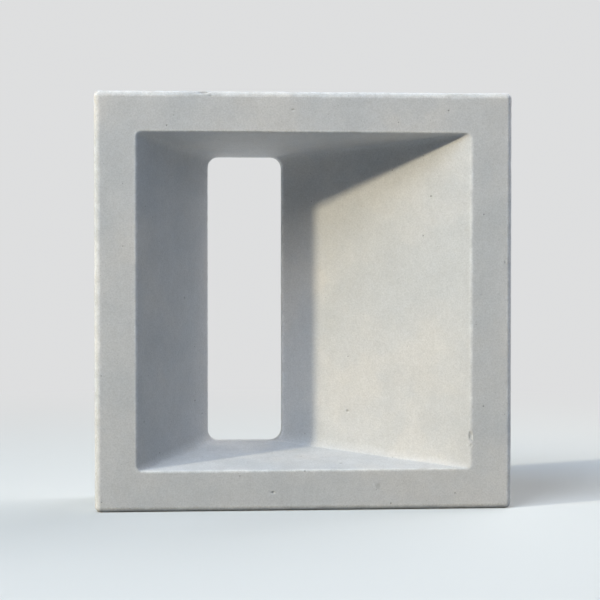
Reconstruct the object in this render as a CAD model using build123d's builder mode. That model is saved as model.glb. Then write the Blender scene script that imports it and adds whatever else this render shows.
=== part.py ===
from build123d import *
import os

# A cast cement screen block, standing upright on its lower side.
# Front face towards -Y, back face towards +Y, Z up, origin under the middle of the block.
# All sizes are in millimetres.

# Outside of the casting.
WIDTH = 290.0
HEIGHT = 290.0
DEPTH = 90.0
OUTER_EDGE_RADIUS = 4.0

# Flat frame in front, and the edge of the opening inside it.
FRAME_SIDE_WIDTH = 29.0
FRAME_LEVEL_WIDTH = 28.5
OPENING_CORNER_RADIUS = 3.5
OPENING_LIP_RADIUS = 1.5

# Upright slot at the back. The left wall and the level walls of the opening run in
# by these amounts, and the right wall closes up whatever is left.
LEFT_WALL_RUN = 51.0
LEVEL_WALL_RUN = 12.5
SLOT_WIDTH = 54.0
SLOT_CORNER_RADIUS = 8.0
SLOT_STRAIGHT_DEPTH = 14.0
SLOT_LIP_RADIUS = 2.0

# Joint channel that runs round the four sides, half way through the depth.
CHANNEL_MOUTH_WIDTH = 32.0
CHANNEL_FLOOR_WIDTH = 22.0
CHANNEL_DEPTH = 12.0

os.makedirs("parts", exist_ok=True)

opening_width = WIDTH - 2 * FRAME_SIDE_WIDTH
opening_height = HEIGHT - 2 * FRAME_LEVEL_WIDTH
slot_height = opening_height - 2 * LEVEL_WALL_RUN
slot_centre_x = LEFT_WALL_RUN + SLOT_WIDTH / 2 - opening_width / 2

front_plane = Plane.XZ.offset(DEPTH / 2)
taper_end_plane = Plane.XZ.offset(SLOT_STRAIGHT_DEPTH - DEPTH / 2)


def channel_cutter(length):
    """A bar of the channel's section along X, with its mouth at the origin and its floor above."""
    with BuildPart(mode=Mode.PRIVATE) as bar:
        with BuildSketch(Plane.YZ.offset(-length / 2)):
            with BuildLine():
                Polyline(
                    (-CHANNEL_MOUTH_WIDTH / 2, 0),
                    (CHANNEL_MOUTH_WIDTH / 2, 0),
                    (CHANNEL_FLOOR_WIDTH / 2, CHANNEL_DEPTH),
                    (-CHANNEL_FLOOR_WIDTH / 2, CHANNEL_DEPTH),
                    close=True,
                )
            make_face()
        extrude(amount=length)
    return bar.part


level_channel = channel_cutter(WIDTH)
upright_channel = channel_cutter(HEIGHT)

with BuildPart() as screen_block:
    # Plain slab with its edges rounded.
    with Locations((0, 0, HEIGHT / 2)):
        Box(WIDTH, DEPTH, HEIGHT)
    fillet(screen_block.edges(), radius=OUTER_EDGE_RADIUS)

    # Tapered opening: four flat walls that close in from the frame to the slot.
    with BuildSketch(front_plane):
        with Locations((0, HEIGHT / 2)):
            RectangleRounded(opening_width, opening_height, OPENING_CORNER_RADIUS)
    with BuildSketch(taper_end_plane) as slot_outline:
        with Locations((slot_centre_x, HEIGHT / 2)):
            RectangleRounded(SLOT_WIDTH, slot_height, SLOT_CORNER_RADIUS)
    loft(ruled=True, mode=Mode.SUBTRACT)

    # Straight run of the slot out through the back face.
    extrude(slot_outline.sketch, amount=-SLOT_STRAIGHT_DEPTH, mode=Mode.SUBTRACT)

    # Soft lips round the front opening and the slot's back rim.
    front_rim = screen_block.faces().sort_by(Axis.Y)[0].inner_wires()[0].edges()
    fillet(front_rim, radius=OPENING_LIP_RADIUS)
    back_rim = screen_block.faces().sort_by(Axis.Y)[-1].inner_wires()[0].edges()
    fillet(back_rim, radius=SLOT_LIP_RADIUS)

    # Joint channels along the lower and upper sides.
    with Locations(Location((0, 0, 0)), Location((0, 0, HEIGHT), (180, 0, 0))):
        add(level_channel, mode=Mode.SUBTRACT)

    # Joint channels along the left and right sides.
    with Locations(
        Location((-WIDTH / 2, 0, HEIGHT / 2), (0, 90, 0)),
        Location((WIDTH / 2, 0, HEIGHT / 2), (0, -90, 0)),
    ):
        add(upright_channel, mode=Mode.SUBTRACT)

screen_block.part.label = "screen_block"
export_step(screen_block.part, "parts/screen_block.step")
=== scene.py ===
import math
import random

import bmesh
import bpy
import numpy as np
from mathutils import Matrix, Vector, noise


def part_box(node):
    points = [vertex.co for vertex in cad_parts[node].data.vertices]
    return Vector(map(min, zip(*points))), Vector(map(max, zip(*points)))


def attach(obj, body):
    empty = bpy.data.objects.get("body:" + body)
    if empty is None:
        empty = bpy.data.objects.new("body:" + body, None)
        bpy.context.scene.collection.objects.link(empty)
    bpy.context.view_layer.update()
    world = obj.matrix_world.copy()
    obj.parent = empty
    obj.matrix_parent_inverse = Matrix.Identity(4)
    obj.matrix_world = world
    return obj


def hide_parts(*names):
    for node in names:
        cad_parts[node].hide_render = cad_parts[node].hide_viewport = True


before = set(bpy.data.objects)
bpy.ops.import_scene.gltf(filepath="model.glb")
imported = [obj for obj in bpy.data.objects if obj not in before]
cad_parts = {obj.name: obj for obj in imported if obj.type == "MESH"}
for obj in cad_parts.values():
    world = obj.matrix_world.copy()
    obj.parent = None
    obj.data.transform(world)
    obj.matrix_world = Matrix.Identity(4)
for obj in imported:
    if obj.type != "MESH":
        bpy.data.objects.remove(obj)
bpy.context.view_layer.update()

# A cast cement screen block, dressed for its picture. Metres, front towards -Y.
MM = 0.001
BLOCK = "screen_block"
LOW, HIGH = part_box(BLOCK)
MIDDLE_Z = (LOW.z + HIGH.z) / 2
HALF_WIDTH = (HIGH.x - LOW.x) / 2
HALF_HEIGHT = (HIGH.z - LOW.z) / 2
FRONT_Y = LOW.y
BACK_Y = HIGH.y

# The source's own sizes, for the replacement of its one solid.
OUTER_EDGE_RADIUS = 4 * MM
FRAME_SIDE_WIDTH = 29 * MM
FRAME_LEVEL_WIDTH = 28.5 * MM
OPENING_CORNER_RADIUS = 3.5 * MM
LEFT_WALL_RUN = 51 * MM
LEVEL_WALL_RUN = 12.5 * MM
SLOT_WIDTH = 54 * MM
SLOT_CORNER_RADIUS = 8 * MM
SLOT_STRAIGHT_DEPTH = 14 * MM
SLOT_LIP_RADIUS = 2 * MM
CHANNEL_MOUTH_HALF = 16 * MM
CHANNEL_FLOOR_HALF = 11 * MM
CHANNEL_DEPTH = 12 * MM

# How far a worn edge is rounded back from its sharp line.
LIP_SETBACK = 1.5 * MM
THROAT_SETBACK = 1.5 * MM
CHANNEL_SETBACK = 1.3 * MM
TIGHT_CORNER = 0.35 * MM

# The mesh is a grid: rings round the block, one after the other through its section.
SIDE_CELLS = 96
CORNER_CELLS = 6
CORNER_CROWDING = 0.5

# How many rings each stretch of the section has. A flat stretch also has a narrow cell
# at each end, which takes the guard's share of it.
EDGE_CELLS = 6
LIP_CELLS = 5
THROAT_CELLS = 4
CHANNEL_BEND_CELLS = 4
CHANNEL_CELLS = (8, 6, 6, 6, 8)
FRAME_CELLS = 14
FRAME_GUARD = 0.015
WALL_CELLS = 52
WALL_GUARD = 0.004
SLOT_CELLS = 5
SLOT_GUARD = 0.04
BACK_CELLS = 34
BACK_GUARD = 0.006


def smooth_step(t):
    return t * t * (3 - 2 * t)


def ring(half_width, half_height, radius, centre_x, y):
    """A closed loop of points on a rounded rectangle that stands upright at depth y."""
    share = np.arange(1, SIDE_CELLS) / SIDE_CELLS
    share = (1 - CORNER_CROWDING) * share + CORNER_CROWDING * smooth_step(share)
    turn = np.radians(np.linspace(0, 90, CORNER_CELLS + 1))
    loop = []
    end = np.array([-(half_width - radius), -half_height])
    # The lower side comes first, and then each corner from the lower right one round.
    for sign_x, sign_z, start in ((1, -1, -90), (1, 1, 0), (-1, 1, 90), (-1, -1, 180)):
        centre = np.array([sign_x * (half_width - radius), sign_z * (half_height - radius)])
        angle = turn + math.radians(start)
        arc = centre + radius * np.stack([np.cos(angle), np.sin(angle)], axis=1)
        loop.append(end + share[:, None] * (arc[0] - end))
        loop.append(arc)
        end = arc[-1]
    flat = np.concatenate(loop)
    depth = np.full(len(flat), y)
    return np.stack([flat[:, 0] + centre_x, depth, flat[:, 1] + MIDDLE_Z], axis=1)


def outer_ring(inset, y):
    """The outside of the block at depth y, drawn in by inset."""
    radius = max(OUTER_EDGE_RADIUS - inset, TIGHT_CORNER)
    return ring(HALF_WIDTH - inset, HALF_HEIGHT - inset, radius, 0, y)


def between(first, last, cells, guard):
    """Rings from first to last, with a narrow cell of the given share at each end."""
    shares = [guard] + [i / cells for i in range(1, cells)] + [1 - guard, 1]
    return [first + s * (last - first) for s in shares]


def bend(first, corner, last, cells):
    """Rings or points on a smooth bend from first to last that rounds off the corner."""
    shares = [i / cells for i in range(1, cells + 1)]
    return [
        (1 - s) ** 2 * first + 2 * s * (1 - s) * corner + s**2 * last for s in shares
    ]


def edge_round(y_edge, outward, cells, reverse):
    """Rings over an outer long edge from the side onto the face, or in reverse.

    outward is -1 at the front and 1 at the back.
    """
    rings = []
    for i in range(1, cells + 1):
        angle = math.radians(90 * i / cells)
        if reverse:
            angle = math.radians(90) - angle
        inset = OUTER_EDGE_RADIUS * (1 - math.cos(angle))
        y = y_edge - outward * OUTER_EDGE_RADIUS * (1 - math.sin(angle))
        rings.append(outer_ring(inset, y))
    return rings


def channel_profile():
    """(depth y, inset) along a side of the block from back to front, with its channel."""
    corners = [
        (BACK_Y - OUTER_EDGE_RADIUS, 0),
        (CHANNEL_MOUTH_HALF, 0),
        (CHANNEL_FLOOR_HALF, CHANNEL_DEPTH),
        (-CHANNEL_FLOOR_HALF, CHANNEL_DEPTH),
        (-CHANNEL_MOUTH_HALF, 0),
        (FRONT_Y + OUTER_EDGE_RADIUS, 0),
    ]
    corners = [np.array(c) for c in corners]
    points = []
    start = corners[0]
    for i, count in enumerate(CHANNEL_CELLS):
        a, b = corners[i], corners[i + 1]
        step = (b - a) / np.linalg.norm(b - a)
        last = i == len(CHANNEL_CELLS) - 1
        stop = b if last else b - step * CHANNEL_SETBACK
        points += [start + (stop - start) * k / count for k in range(1, count + 1)]
        if not last:
            onward = corners[i + 2] - b
            start = b + onward / np.linalg.norm(onward) * CHANNEL_SETBACK
            points += bend(stop, b, start, CHANNEL_BEND_CELLS)
    return points


def block_rings():
    """Every ring of the block, from the front edge through the opening and back outside."""
    opening_half_x = HALF_WIDTH - FRAME_SIDE_WIDTH
    opening_half_z = HALF_HEIGHT - FRAME_LEVEL_WIDTH
    slot_half_x = SLOT_WIDTH / 2
    slot_half_z = opening_half_z - LEVEL_WALL_RUN
    slot_x = -opening_half_x + LEFT_WALL_RUN + slot_half_x
    throat_y = BACK_Y - SLOT_STRAIGHT_DEPTH

    face_edge = outer_ring(OUTER_EDGE_RADIUS, FRONT_Y)
    lip_face = ring(
        opening_half_x + LIP_SETBACK,
        opening_half_z + LIP_SETBACK,
        OPENING_CORNER_RADIUS + LIP_SETBACK,
        0,
        FRONT_Y,
    )
    opening = ring(opening_half_x, opening_half_z, OPENING_CORNER_RADIUS, 0, FRONT_Y)
    throat = ring(slot_half_x, slot_half_z, SLOT_CORNER_RADIUS, slot_x, throat_y)
    wall = throat - opening
    wall /= np.linalg.norm(wall, axis=1)[:, None]
    lip_wall = opening + wall * LIP_SETBACK
    wall_end = throat - wall * THROAT_SETBACK
    along = np.array([0, 1, 0])
    slot_start = throat + along * THROAT_SETBACK
    slot_end = throat + along * (SLOT_STRAIGHT_DEPTH - SLOT_LIP_RADIUS)
    slot_corner = throat + along * SLOT_STRAIGHT_DEPTH
    back_rim = ring(
        slot_half_x + SLOT_LIP_RADIUS,
        slot_half_z + SLOT_LIP_RADIUS,
        SLOT_CORNER_RADIUS + SLOT_LIP_RADIUS,
        slot_x,
        BACK_Y,
    )
    back_edge = outer_ring(OUTER_EDGE_RADIUS, BACK_Y)

    rings = edge_round(FRONT_Y, -1, EDGE_CELLS, reverse=False)
    rings += between(face_edge, lip_face, FRAME_CELLS, FRAME_GUARD)
    rings += bend(lip_face, opening, lip_wall, LIP_CELLS)
    rings += between(lip_wall, wall_end, WALL_CELLS, WALL_GUARD)
    rings += bend(wall_end, throat, slot_start, THROAT_CELLS)
    rings += between(slot_start, slot_end, SLOT_CELLS, SLOT_GUARD)
    rings += bend(slot_end, slot_corner, back_rim, LIP_CELLS)
    rings += between(back_rim, back_edge, BACK_CELLS, BACK_GUARD)
    rings += edge_round(BACK_Y, 1, EDGE_CELLS, reverse=True)
    rings += [outer_ring(inset, y) for y, inset in channel_profile()]
    return np.array(rings)


def grid_mesh(name, rings):
    """A closed mesh through the rings, with its faces towards the outside."""
    count, around = rings.shape[:2]
    row = np.arange(count)[:, None] * around
    next_row = (np.arange(count)[:, None] + 1) % count * around
    column = np.arange(around)[None, :]
    next_column = (column + 1) % around
    faces = np.stack(
        [row + column, next_row + column, next_row + next_column, row + next_column],
        axis=2,
    ).reshape(-1, 4)
    mesh = bpy.data.meshes.new(name)
    mesh.from_pydata(rings.reshape(-1, 3).tolist(), [], faces.tolist())
    mesh.validate()
    return mesh


# Small air bubbles that the mould left: their number, their least radius and how much
# larger the largest may be, both in millimetres, how rare large ones are, and their
# depth as a share of the radius.
SEED = 20
BUBBLES = 64
BUBBLE_RADIUS = 0.55
BUBBLE_SPREAD = 1.1
BUBBLE_RARITY = 3
BUBBLE_DEPTH = 0.75

# A mark reaches this many radii from its place. The mesh is divided that far and a
# little further.
MARK_MARGIN = 1.5
REFINE_REACH = 1.3 * MM
REFINE_CUTS = 3


def scattered_marks(mesh):
    """(place, radius, depth, length) of the air bubbles, on faces picked by area."""
    draw = random.Random(SEED)
    areas = np.zeros(len(mesh.polygons))
    mesh.polygons.foreach_get("area", areas)
    total = np.cumsum(areas)
    marks = []
    for _ in range(BUBBLES):
        face = int(np.searchsorted(total, draw.random() * total[-1]))
        radius = MM * (BUBBLE_RADIUS + BUBBLE_SPREAD * draw.random() ** BUBBLE_RARITY)
        place = np.array(mesh.polygons[face].center)
        marks.append((place, radius, radius * BUBBLE_DEPTH, (1, 1, 1)))
    return marks


def placed_marks():
    """(place, radius, depth, length) of the chips and spots that have a place of their own."""
    right_lip = HALF_WIDTH - FRAME_SIDE_WIDTH
    top = HIGH.z
    low = LOW.z
    tall = (1, 1, 2.3)
    wide = (2.6, 1, 1)
    even = (1, 1, 1)
    places = [
        ((right_lip - 0.2 * MM, FRONT_Y, low + 51.0 * MM), 1.9, 0.65, tall),
        ((right_lip + 0.6 * MM, FRONT_Y, low + 48.0 * MM), 1.2, 0.35, even),
        ((right_lip - 0.2 * MM, FRONT_Y, low + 44.0 * MM), 1.0, 0.2, tall),
        ((-70 * MM, FRONT_Y + 1 * MM, top - 1 * MM), 1.7, 0.9, wide),
        ((-65 * MM, FRONT_Y, top - 3.4 * MM), 1.3, 0.35, even),
        ((-22 * MM, FRONT_Y, low + 13 * MM), 1.2, 0.8, even),
        ((51 * MM, FRONT_Y, low + 17 * MM), 2.6, 0.16, even),
        ((-97 * MM, FRONT_Y + 20 * MM, low + 66 * MM), 1.5, 0.9, even),
    ]
    return [(np.array(p), r * MM, d * MM, length) for p, r, d, length in places]


def mark_distance(points, mark):
    """How far the points are from a mark, as a share of its radius, shorter along its length."""
    place, radius, _, length = mark
    return np.linalg.norm((points - place) / (radius * np.array(length)), axis=1)


def refine(mesh, marks):
    """Divides the faces near each mark, so that the mark has enough points for its shape."""
    bm = bmesh.new()
    bm.from_mesh(mesh)
    bm.faces.ensure_lookup_table()
    centres = np.array([f.calc_center_median() for f in bm.faces])
    chosen = set()
    for mark in marks:
        reach = MARK_MARGIN + REFINE_REACH / mark[1]
        for index in np.nonzero(mark_distance(centres, mark) < reach)[0]:
            chosen.update(bm.faces[int(index)].edges)
    bmesh.ops.subdivide_edges(
        bm, edges=sorted(chosen, key=lambda e: e.index), cuts=REFINE_CUTS, use_grid_fill=True
    )
    # A face beside divided ones has more than four corners now, so it is split up.
    crowded = [f for f in bm.faces if len(f.verts) > 4]
    bmesh.ops.triangulate(bm, faces=crowded)
    bmesh.ops.recalc_face_normals(bm, faces=bm.faces)
    bm.to_mesh(mesh)
    bm.free()


def vertex_array(mesh, field):
    values = np.zeros(len(mesh.vertices) * 3)
    mesh.vertices.foreach_get(field, values)
    return values.reshape(-1, 3)


def waves(points, size, offset):
    """Smooth noise from about -1 to 1, with waves of the given size. Offset moves it."""
    shift = Vector((offset, 2 * offset, 3 * offset))
    return np.array([noise.noise(Vector(p) / size + shift) for p in points])


# A long edge rounded to this radius or less counts as fully sharp. The mean over a point's
# links is a quarter of the curvature across such an edge. The result is spread over the
# neighbouring points and then strengthened again.
SHARP_RADIUS = 4 * MM
MEAN_SHARE = 4
SPREAD_STEPS = 3
SPREAD_GAIN = 1.6


def edge_sharpness(mesh, points, normals):
    """How much each point stands on an outward edge, from 0 to 1."""
    edges = np.zeros(len(mesh.edges) * 2, dtype=int)
    mesh.edges.foreach_get("vertices", edges)
    a, b = edges.reshape(-1, 2).T
    step = points[a] - points[b]
    length = (step**2).sum(axis=1)
    bulge = np.zeros(len(points))
    links = np.zeros(len(points))
    np.add.at(bulge, a, (normals[a] * step).sum(axis=1) / length)
    np.add.at(bulge, b, -(normals[b] * step).sum(axis=1) / length)
    np.add.at(links, a, 1)
    np.add.at(links, b, 1)
    sharp = np.clip(bulge / links * MEAN_SHARE * SHARP_RADIUS, 0, 1)
    for _ in range(SPREAD_STEPS):
        total = sharp.copy()
        np.add.at(total, a, sharp[b])
        np.add.at(total, b, sharp[a])
        sharp = total / (links + 1)
    return np.clip(sharp * SPREAD_GAIN, 0, 1)


# How deep the faces are uneven and the edges rubbed.
UNEVENNESS = 0.22 * MM
RIPPLE = 0.03 * MM
NIBBLE = 0.5 * MM

# The waves of each: (size, offset).
UNEVEN_WAVES = (62 * MM, 3)
RIPPLE_WAVES = (11 * MM, 7)
RUBBED_WAVES = (9 * MM, 11)
FINE_RUBBED_WAVES = (4 * MM, 13)
RAGGED_WAVES = (1.6 * MM, 17)

# The fine waves' share in the rubbed edges, and the height where the rubbing starts.
FINE_RUBBED_SHARE = 0.7
RUBBED_START = 0.35

# How ragged a mark's outline is, and how steeply its sides go down.
RAGGEDNESS = 0.25
SCOOP_STEEPNESS = 1.6


def weather(mesh, marks):
    """Moves the points inwards a little: uneven faces, rubbed edges, bubbles and chips."""
    points = vertex_array(mesh, "co")
    normals = vertex_array(mesh, "normal")
    edge = edge_sharpness(mesh, points, normals)
    inward = UNEVENNESS * (0.5 + 0.5 * waves(points, *UNEVEN_WAVES))
    inward += RIPPLE * (1 + waves(points, *RIPPLE_WAVES))
    rubbed = waves(points, *RUBBED_WAVES) + FINE_RUBBED_SHARE * waves(points, *FINE_RUBBED_WAVES)
    inward += NIBBLE * edge * np.clip(rubbed - RUBBED_START, 0, 1)
    mark_shade = np.zeros(len(points))
    moved = points - normals * inward[:, None]
    ragged = waves(points, *RAGGED_WAVES)
    for mark in marks:
        distance = mark_distance(points, mark)
        near = np.nonzero(distance < MARK_MARGIN)[0]
        if not len(near):
            continue
        weight = 1 - distance[near] + RAGGEDNESS * ragged[near]
        scoop = smooth_step(np.clip(weight * SCOOP_STEEPNESS, 0, 1))
        mean = normals[near].mean(axis=0)
        mean /= np.linalg.norm(mean)
        moved[near] -= mean * (scoop * mark[2])[:, None]
        mark_shade[near] = np.maximum(mark_shade[near], scoop)
    mesh.vertices.foreach_set("co", moved.ravel())
    # The scoops are kept for the material, which darkens them as painted shade.
    for label, values in (("edge", edge), ("mark_shade", mark_shade)):
        layer = mesh.attributes.new(label, "FLOAT", "POINT")
        layer.data.foreach_set("value", values.astype(np.float32))
    mesh.shade_smooth()
    mesh.update()


# A spot in the cement is full out to this share of its radius. Its radius, as a share of
# a cell, is never less than the least.
SPOT_CORE = 0.5
LEAST_SPOT = 0.001


class Nodes:
    """Short calls for building one material's or world's node tree."""

    def __init__(self, tree):
        self.tree = tree
        tree.nodes.clear()

    def add(self, kind, inputs=None, **settings):
        made = self.tree.nodes.new("ShaderNode" + kind)
        for key, value in settings.items():
            setattr(made, key, value)
        for key, value in (inputs or {}).items():
            if isinstance(value, bpy.types.NodeSocket):
                self.tree.links.new(value, made.inputs[key])
            else:
                made.inputs[key].default_value = value
        return made

    def math(self, operation, first, second=0.0, third=0.0):
        inputs = {0: first, 1: second, 2: third}
        return self.add("Math", inputs, operation=operation).outputs[0]

    def mix_color(self, inputs):
        mixer = self.add("Mix", data_type="RGBA")
        for key, value in inputs.items():
            socket = next(i for i in mixer.inputs if i.name == key and i.enabled)
            if isinstance(value, bpy.types.NodeSocket):
                self.tree.links.new(value, socket)
            else:
                socket.default_value = value
        return next(o for o in mixer.outputs if o.enabled)

    def noise(self, where, size, detail=2.0, roughness=0.5):
        inputs = {"Vector": where, "Scale": 1 / size, "Detail": detail, "Roughness": roughness}
        return self.add("TexNoise", inputs).outputs["Fac"]

    def remap(self, value, low, high, to_low, to_high):
        inputs = {
            "Value": value,
            "From Min": low,
            "From Max": high,
            "To Min": to_low,
            "To Max": to_high,
        }
        kind = "SMOOTHSTEP"
        return self.add("MapRange", inputs, interpolation_type=kind).outputs["Result"]

    def spots(self, where, cell, share, widest):
        """1 inside small round spots of up to the widest radius, in that share of the cells."""
        grid = self.add("TexVoronoi", {"Vector": where, "Scale": 1 / cell})
        chance = self.add("SeparateColor", {"Color": grid.outputs["Color"]}).outputs[0]
        slope = widest / cell / share
        radius = self.math("MULTIPLY_ADD", chance, slope, slope * (share - 1))
        radius = self.math("MAXIMUM", radius, LEAST_SPOT)
        core = self.math("MULTIPLY", radius, SPOT_CORE)
        return self.remap(grid.outputs["Distance"], core, radius, 1.0, 0.0)

    def shade(self, mask, change):
        """A factor that is 1 where the mask is 0, and 1 plus the change where it is 1."""
        return self.math("MULTIPLY_ADD", mask, change, 1.0)


# The clouds in the cement, from cool and darker to warm and lighter: (noise value, colour).
# The shift picks the part of the noise where they lie about as on the photographed block.
CLOUD_TONES = (
    (0.36, (0.492, 0.502, 0.512, 1)),
    (0.50, (0.517, 0.520, 0.524, 1)),
    (0.64, (0.545, 0.538, 0.530, 1)),
)
CLOUD_SHIFT = (1.85, 1.05, 0.65)

# Each layer's noise: (size, detail, roughness).
CLOUDS = (62 * MM, 3, 0.55)
PATCHES = (21 * MM, 4, 0.6)
MOTTLE = (5 * MM, 4, 0.6)
SAND = (1.1 * MM, 3, 0.7)
STREAKS = (8 * MM, 3, 0.5)
DUST = (14 * MM, 4, 0.6)
RUBBING = (6 * MM, 4, 0.6)
GRAIN = (3.6 * MM, 3, 0.6)

# What each layer turns its values into: (from low, from high, to low, to high).
PATCH_RANGE = (0.35, 0.65, 0.98, 1.02)
MOTTLE_RANGE = (0.3, 0.7, 0.982, 1.018)
SAND_RANGE = (0.25, 0.75, 0.9, 1.1)
STREAK_RANGE = (0.3, 0.7, 0.993, 1.007)
UPWARD_RANGE = (0.55, 0.95, 0.0, 1.0)
DUST_RANGE = (0.3, 0.7, 0.35, 1.0)
RUBBING_RANGE = (0.35, 0.65, 0.3, 1.0)
ROUGHNESS_RANGE = (0.3, 0.7, 0.9, 0.82)

# The streaks run upright, and the dust drifts a little sideways: scales along X, Y and Z.
STREAK_SCALE = (1, 1, 0.06)
DRIFT_SCALE = (0.7, 1, 1)

# Round spots: (cell size, share of the cells that have one, widest radius).
PINHOLES = (5 * MM, 0.11, 0.9 * MM)
PORES = (2.3 * MM, 0.3, 0.5 * MM)

# How much lighter or darker the cement is where a layer is full, and the power that keeps the
# pale edges narrow. The darker pinholes, pores and marks are painted shade in their hollows, the
# lighter upward faces are dust and painted light from above, and the paler edges are rubbing and
# a painted highlight.
PINHOLE_SHADE_TONE = -0.42
PORE_SHADE_TONE = -0.2
DUST_AND_TOP_LIGHT_TONE = 0.14
EDGE_RUB_AND_HIGHLIGHT_TONE = 0.22
MARK_SHADE_TONE = -0.14
EDGE_POWER = 1.7

# How high each layer stands in the bump, in millimetres.
SAND_HEIGHT = 0.09
GRAIN_HEIGHT = 0.12
PORE_HEIGHT = -0.1
PINHOLE_HEIGHT = -0.35
SPECULAR_LEVEL = 0.35


def cement():
    """Pale cast cement: cool and warm clouds, fine sand, pinholes and pores with painted shade,
    dust with painted light on what faces up, and edges lighter from rubbing and a painted
    highlight.
    """
    material = bpy.data.materials.new("pale_cast_cement")
    material.use_nodes = True
    n = Nodes(material.node_tree)
    place = n.add("TexCoord").outputs["Object"]

    shifted = n.add("Mapping", {"Vector": place, "Location": CLOUD_SHIFT}).outputs[0]
    clouds = n.noise(shifted, *CLOUDS)
    ramp = n.add("ValToRGB", {"Fac": clouds})
    ramp.color_ramp.interpolation = "EASE"
    for element, (at, tone) in zip(ramp.color_ramp.elements, CLOUD_TONES):
        element.position, element.color = at, tone
    last_at, last_tone = CLOUD_TONES[-1]
    ramp.color_ramp.elements.new(last_at).color = last_tone

    patches = n.remap(n.noise(place, *PATCHES), *PATCH_RANGE)
    mottle = n.remap(n.noise(place, *MOTTLE), *MOTTLE_RANGE)
    sand = n.noise(place, *SAND)
    sand_tone = n.remap(sand, *SAND_RANGE)
    upright = n.add("Mapping", {"Vector": place, "Scale": STREAK_SCALE}).outputs[0]
    streaks = n.remap(n.noise(upright, *STREAKS), *STREAK_RANGE)
    # Pinholes and pores. Their darker colour below is painted shade inside them.
    pinhole = n.spots(place, *PINHOLES)
    pore = n.spots(place, *PORES)

    # Dust that settled on what faces up. It also stands in for light from above, so those faces
    # are painted lighter.
    normal = n.add("NewGeometry").outputs["Normal"]
    rise = n.add("SeparateXYZ", {"Vector": normal}).outputs["Z"]
    settled = n.remap(rise, *UPWARD_RANGE)
    drift = n.add("Mapping", {"Vector": place, "Scale": DRIFT_SCALE}).outputs[0]
    dust_and_top_light = n.math("MULTIPLY", settled, n.remap(n.noise(drift, *DUST), *DUST_RANGE))

    # Edges paler from rubbing and from a painted highlight, and painted shade in the hollows of
    # the bubbles, chips and spots.
    edge = n.add("Attribute", attribute_name="edge").outputs["Fac"]
    mark_shade = n.add("Attribute", attribute_name="mark_shade").outputs["Fac"]
    rubbed = n.remap(n.noise(place, *RUBBING), *RUBBING_RANGE)
    # Paler edges: partly rubbed cement, partly a painted highlight where the rounded edges catch
    # the light.
    rubbed_and_highlit = n.math("MULTIPLY", n.math("POWER", edge, EDGE_POWER), rubbed)

    tone = patches
    factors = (
        mottle,
        sand_tone,
        streaks,
        n.shade(pinhole, PINHOLE_SHADE_TONE),
        n.shade(pore, PORE_SHADE_TONE),
        n.shade(dust_and_top_light, DUST_AND_TOP_LIGHT_TONE),
        n.shade(rubbed_and_highlit, EDGE_RUB_AND_HIGHLIGHT_TONE),
        n.shade(mark_shade, MARK_SHADE_TONE),
    )
    for factor in factors:
        tone = n.math("MULTIPLY", tone, factor)
    color = n.add("VectorMath", {0: ramp.outputs["Color"], "Scale": tone}, operation="SCALE")

    height = n.math("MULTIPLY", sand, SAND_HEIGHT)
    height = n.math("MULTIPLY_ADD", n.noise(place, *GRAIN), GRAIN_HEIGHT, height)
    height = n.math("MULTIPLY_ADD", pore, PORE_HEIGHT, height)
    height = n.math("MULTIPLY_ADD", pinhole, PINHOLE_HEIGHT, height)
    bump = n.add("Bump", {"Height": height, "Strength": 1.0, "Distance": MM})
    shader = n.add(
        "BsdfPrincipled",
        {
            "Base Color": color.outputs[0],
            "Roughness": n.remap(clouds, *ROUGHNESS_RANGE),
            "Normal": bump.outputs[0],
            "Specular IOR Level": SPECULAR_LEVEL,
        },
    )
    n.add("OutputMaterial", {"Surface": shader.outputs[0]})
    return material


# The stage: a pale floor that runs out into an even pale background, and an even weak
# light from all round.
PALE = (0.73, 0.735, 0.74, 1)
FILL = (0.066, 0.066, 0.066, 1)
FLOOR_TONE = (0.652, 0.667, 0.662, 1)
FLOOR_RADIUS = 9.0
FLOOR_SEGMENTS = 96
FLOOR_FADE_START = 0.25
FLOOR_FADE_END = 1.1

# The colour with which the floor spreads light: dim in front, so that the shaded walls of
# the opening stay dark, and pale behind, from where it lights the upper wall and the slot.
# It changes from the one to the other between these depths.
FRONT_BOUNCE_TONE = (0.26, 0.27, 0.27, 1)
BACK_BOUNCE_TONE = (0.9, 0.9, 0.9, 1)
BOUNCE_CHANGE = (FRONT_Y, 2 * BACK_Y)


def seen_directly(n):
    """1 for rays from the camera, a mirror or glass, 0 for light that spreads."""
    path = n.add("LightPath")
    total = n.math("ADD", path.outputs["Is Camera Ray"], path.outputs["Is Glossy Ray"])
    return n.math("MINIMUM", n.math("ADD", total, path.outputs["Is Transmission Ray"]), 1.0)


def floor_material():
    material = bpy.data.materials.new("pale_floor")
    material.use_nodes = True
    n = Nodes(material.node_tree)
    place = n.add("TexCoord").outputs["Object"]
    reach = n.add("VectorMath", {0: place}, operation="LENGTH").outputs["Value"]
    fade = n.remap(reach, FLOOR_FADE_START, FLOOR_FADE_END, 0.0, 1.0)
    seen = seen_directly(n)
    share = n.math("MULTIPLY", fade, seen)
    depth = n.add("SeparateXYZ", {"Vector": place}).outputs["Y"]
    behind = n.remap(depth, *BOUNCE_CHANGE, 0.0, 1.0)
    bounce = n.mix_color({"Factor": behind, "A": FRONT_BOUNCE_TONE, "B": BACK_BOUNCE_TONE})
    tone = n.mix_color({"Factor": seen, "A": bounce, "B": FLOOR_TONE})
    matt = n.add("BsdfDiffuse", {"Color": tone})
    even = n.add("Emission", {"Color": PALE, "Strength": 1.0})
    mixed = n.add("MixShader", {0: share, 1: matt.outputs[0], 2: even.outputs[0]})
    n.add("OutputMaterial", {"Surface": mixed.outputs[0]})
    return material


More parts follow.
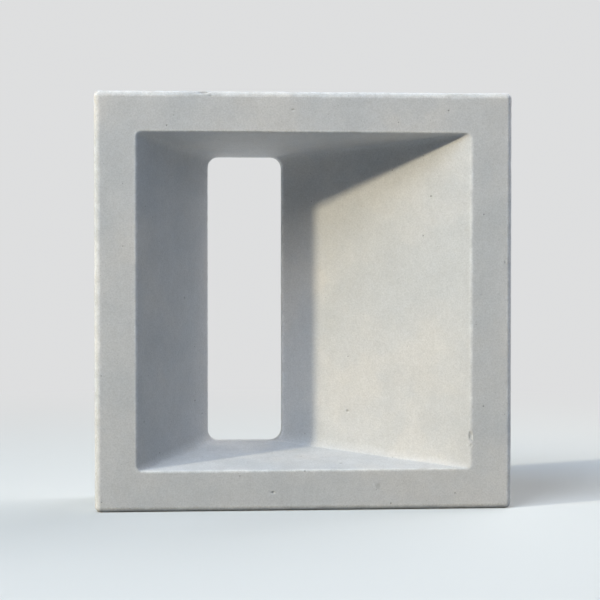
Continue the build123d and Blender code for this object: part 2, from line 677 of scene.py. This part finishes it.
def make_floor():
    bm = bmesh.new()
    bmesh.ops.create_circle(bm, cap_ends=True, segments=FLOOR_SEGMENTS, radius=FLOOR_RADIUS)
    mesh = bpy.data.meshes.new("floor")
    bm.to_mesh(mesh)
    bm.free()
    floor = bpy.data.objects.new("floor", mesh)
    bpy.context.scene.collection.objects.link(floor)
    floor.data.materials.append(floor_material())


def make_world():
    world = bpy.data.worlds.new("soft_studio")
    bpy.context.scene.world = world
    world.use_nodes = True
    n = Nodes(world.node_tree)
    fill = n.add("Background", {"Color": FILL, "Strength": 1.0})
    plain = n.add("Background", {"Color": PALE, "Strength": 1.0})
    mixed = n.add("MixShader", {0: seen_directly(n), 1: fill.outputs[0], 2: plain.outputs[0]})
    n.add("OutputWorld", {"Surface": mixed.outputs[0]})


# Light comes from the left, in front and a little above, as on the photographed block.
KEY_PLACE = (-2, -1, 1)
KEY_TRAVEL = (0.855, 0.41, -0.335)
KEY_STRENGTH = 2.58
KEY_SPREAD = math.radians(3)
KEY_TINT = (1.0, 0.89, 0.65)

# Large soft lamps: (name, place, size, power, tint).
SOFT_LAMPS = (
    ("front_left", (-1.1, -1.5, 1.9), 1.2, 25.9, (1.0, 0.88, 0.71)),
    ("high_left", (-1.0, -1.0, 2.2), 1.5, 38, (0.41, 0.66, 1.0)),
    ("low_right", (1.8, -1.35, 0.8), 1.5, 5.5, (0.42, 0.63, 1.0)),
    ("right", (2.3, 0.5, 1.3), 1.6, 19.5, (1.0, 0.96, 0.91)),
    ("behind", (1.8, 1.8, 2.0), 2.8, 56, (0.97, 0.98, 1.0)),
)

# A soft lamp that lies on the floor behind the block and shines up, like bright ground.
GROUND_PLACE = (-0.04, 0.45, 0.006)
GROUND_SIZE = 0.5
GROUND_POWER = 0.66
GROUND_TINT = (0.9, 0.95, 1.0)
UP = (0, 0, 1)


def add_lamp(light, place, travel):
    lamp = bpy.data.objects.new(light.name, light)
    lamp.location = place
    lamp.visible_camera = False
    lamp.rotation_euler = Vector(travel).to_track_quat("-Z", "Y").to_euler()
    bpy.context.scene.collection.objects.link(lamp)


def add_soft_lamp(name, place, travel, size, power, tint):
    soft = bpy.data.lights.new(name, "AREA")
    soft.energy = power
    soft.size = size
    soft.color = tint
    add_lamp(soft, place, travel)


def make_lights():
    key = bpy.data.lights.new("key", "SUN")
    key.energy = KEY_STRENGTH
    key.angle = KEY_SPREAD
    key.color = KEY_TINT
    add_lamp(key, KEY_PLACE, KEY_TRAVEL)
    for name, place, size, power, tint in SOFT_LAMPS:
        towards_block = Vector((0, 0, MIDDLE_Z)) - Vector(place)
        add_soft_lamp(name, place, towards_block, size, power, tint)
    add_soft_lamp("ground", GROUND_PLACE, UP, GROUND_SIZE, GROUND_POWER, GROUND_TINT)


CAMERA_PLACE = (-0.098, -1.2615, 0.175)
CAMERA_TARGET = (0.0, 0.0, MIDDLE_Z)
CAMERA_LENS = 106
SENSOR_WIDTH = 36


def make_camera():
    data = bpy.data.cameras.new("camera")
    data.lens = CAMERA_LENS
    data.sensor_width = SENSOR_WIDTH
    camera = bpy.data.objects.new("camera", data)
    camera.location = CAMERA_PLACE
    look = Vector(CAMERA_TARGET) - Vector(CAMERA_PLACE)
    camera.rotation_euler = look.to_track_quat("-Z", "Y").to_euler()
    bpy.context.scene.collection.objects.link(camera)
    bpy.context.scene.camera = camera


def make_block():
    mesh = grid_mesh("screen_block_cast", block_rings())
    marks = scattered_marks(mesh) + placed_marks()
    refine(mesh, marks)
    weather(mesh, marks)
    block = bpy.data.objects.new("screen_block_cast", mesh)
    bpy.context.scene.collection.objects.link(block)
    mesh.materials.append(cement())
    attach(block, "root")
    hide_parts(BLOCK)


make_camera()
make_block()
make_floor()
make_world()
make_lights()
bpy.context.scene.view_settings.view_transform = "Standard"
